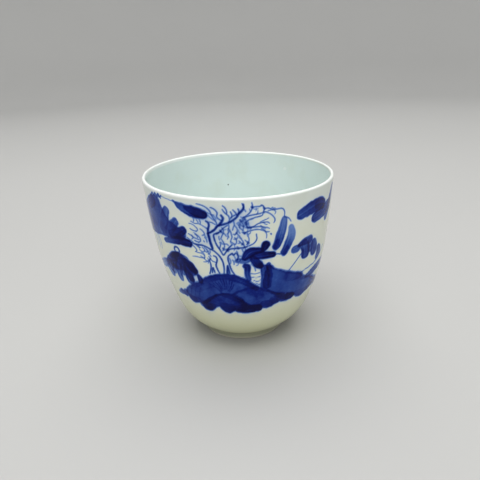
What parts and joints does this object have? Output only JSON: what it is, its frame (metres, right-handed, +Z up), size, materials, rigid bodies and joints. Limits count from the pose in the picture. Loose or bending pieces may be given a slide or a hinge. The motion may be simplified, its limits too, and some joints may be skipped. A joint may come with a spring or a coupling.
{
  "type": "teacup",
  "caption": "Small handleless porcelain teacup: tall rounded bowl on a low turned foot ring, with a landscape painted in blue under a pale grey-green glaze",
  "frame": {"origin": "on the cup's axis, in the plane of the foot's bare edge, where the cup stands", "axes": "+Z up along the axis the cup was thrown on, -Y out of the painted front, +X to the right of that front"},
  "size_m": [0.068, 0.068, 0.061],
  "materials": {
    "porcelain": "pale porcelain body with a thin clear glaze where it shows inside the foot",
    "foot_glaze": "thick grey-green glaze pooled on the foot",
    "biscuit": "bare fired porcelain, matt, buff grey",
    "outer_glaze": "glossy clear glaze, faintly grey-green, over a landscape brushed in cobalt blue",
    "inner_glaze": "glossy clear glaze, pale blue-green, with no painting"
  },
  "bodies": {
    "root": {"bowl": "porcelain", "foot_ring": "foot_glaze", "foot_rim": "biscuit", "outer_glaze": "outer_glaze", "inner_glaze": "inner_glaze"}
  },
  "joints": []
}
